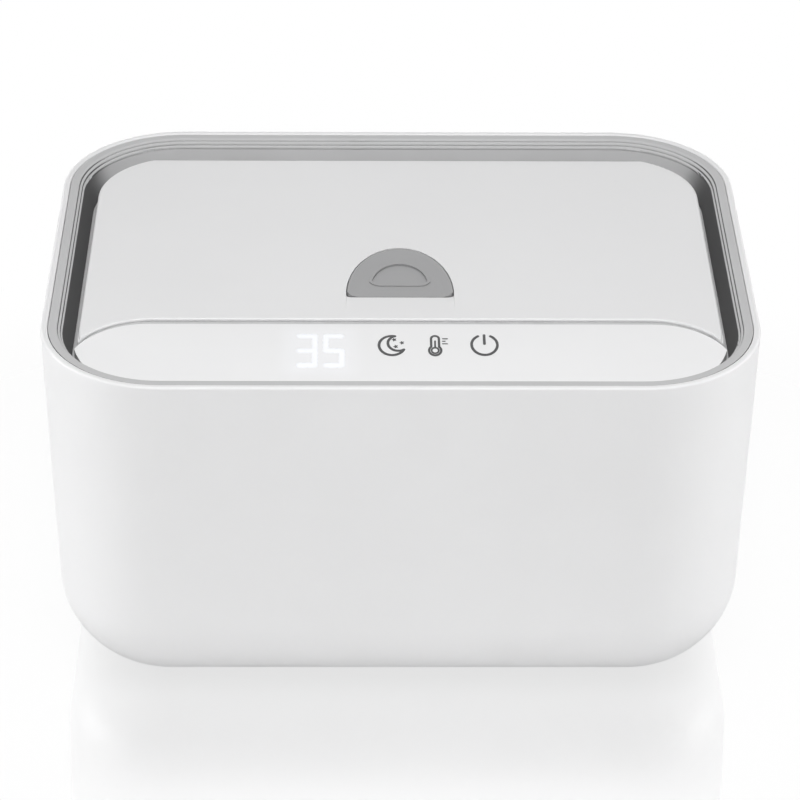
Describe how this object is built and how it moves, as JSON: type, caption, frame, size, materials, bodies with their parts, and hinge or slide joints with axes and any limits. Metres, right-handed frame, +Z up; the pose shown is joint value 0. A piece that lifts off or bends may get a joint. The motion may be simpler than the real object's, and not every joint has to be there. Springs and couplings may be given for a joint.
{
  "type": "wipe warmer",
  "caption": "White heated box for baby wipes with rounded lower edges, a hinged flat lid with a thumb button, a curved touch panel with a readout and a grey ribbed ring.",
  "frame": {"origin": "on the table, under the middle of the box", "axes": "+X to the right as the user sees the front, +Y to the back, +Z up"},
  "size_m": [0.22, 0.166, 0.12],
  "materials": {
    "white_shell": "soft satin gloss",
    "white_panel": "glossy translucent white",
    "white_inner": "fine satin",
    "grey_trim": "satin",
    "grey_seal": "matt",
    "grey_button": "satin",
    "grey_inner": "satin",
    "dark_plastic": "satin",
    "circuit_board": "solder mask",
    "screw_steel": "plated",
    "spring_steel": "bright",
    "spring_brass": "plated",
    "cable_grey": "flexible",
    "foot_rubber": "matt",
    "heat_aluminium": "mill finish",
    "heater_silicone": "fabric-textured silicone",
    "insulation_felt": "felted",
    "lead_red": "satin",
    "seal_silicone": "soft matt"
  },
  "bodies": {
    "base": {"outer_shell": "white_shell", "trim_ring": "grey_trim", "inner_tank": "white_inner", "tank_screws": "screw_steel", "control_panel": "white_panel", "panel_seal": "grey_seal", "panel_screws": "screw_steel", "display_board": "circuit_board", "display_screws": "screw_steel", "led_display": "dark_plastic", "touch_springs": "spring_brass", "display_cable": "cable_grey", "latch_keeper": "spring_steel", "hinge_springs": "spring_steel", "bottom_cover": "white_inner", "cover_screws": "screw_steel", "rubber_feet": "foot_rubber", "main_board": "circuit_board", "board_screws": "screw_steel", "heat_plate": "heat_aluminium", "heater_mat": "heater_silicone", "insulation_pad": "insulation_felt", "heater_retainer": "white_inner", "retainer_screws": "screw_steel", "thermistor": "dark_plastic", "thermal_fuse": "heat_aluminium", "heater_leads": "lead_red", "dc_jack": "dark_plastic", "jack_board": "circuit_board", "jack_screws": "screw_steel", "dc_leads": "lead_red"},
    "lid": {"lid_shell": "white_shell", "lid_liner": "white_inner", "lid_gasket": "seal_silicone", "lid_screws": "screw_steel", "hinge_pins": "spring_steel", "latch_spring": "spring_steel"},
    "button": {"release_button": "grey_button"},
    "bolt": {"latch_bolt": "grey_inner"}
  },
  "joints": [
    {"name": "lid_hinge", "type": "hinge", "parent": "base", "child": "lid", "pos_m": [0, 0.067, 0.113], "axis": [-1, 0, 0], "range_deg": [0, 84], "deforming": ["hinge_springs", "latch_keeper"]},
    {"name": "button_press", "type": "slide", "parent": "lid", "child": "button", "axis": [0, 0, -1], "range_m": [0, 0.0018], "stiffness_N_per_m": 250, "springref_m": -0.002},
    {"name": "bolt_slide", "type": "slide", "parent": "lid", "child": "bolt", "axis": [0, 1, 0], "range_m": [0, 0.0018], "deforming": ["latch_spring"]}
  ],
  "couplings": [
    {"joint": "bolt_slide", "follows": "button_press", "ratio": 1}
  ]
}
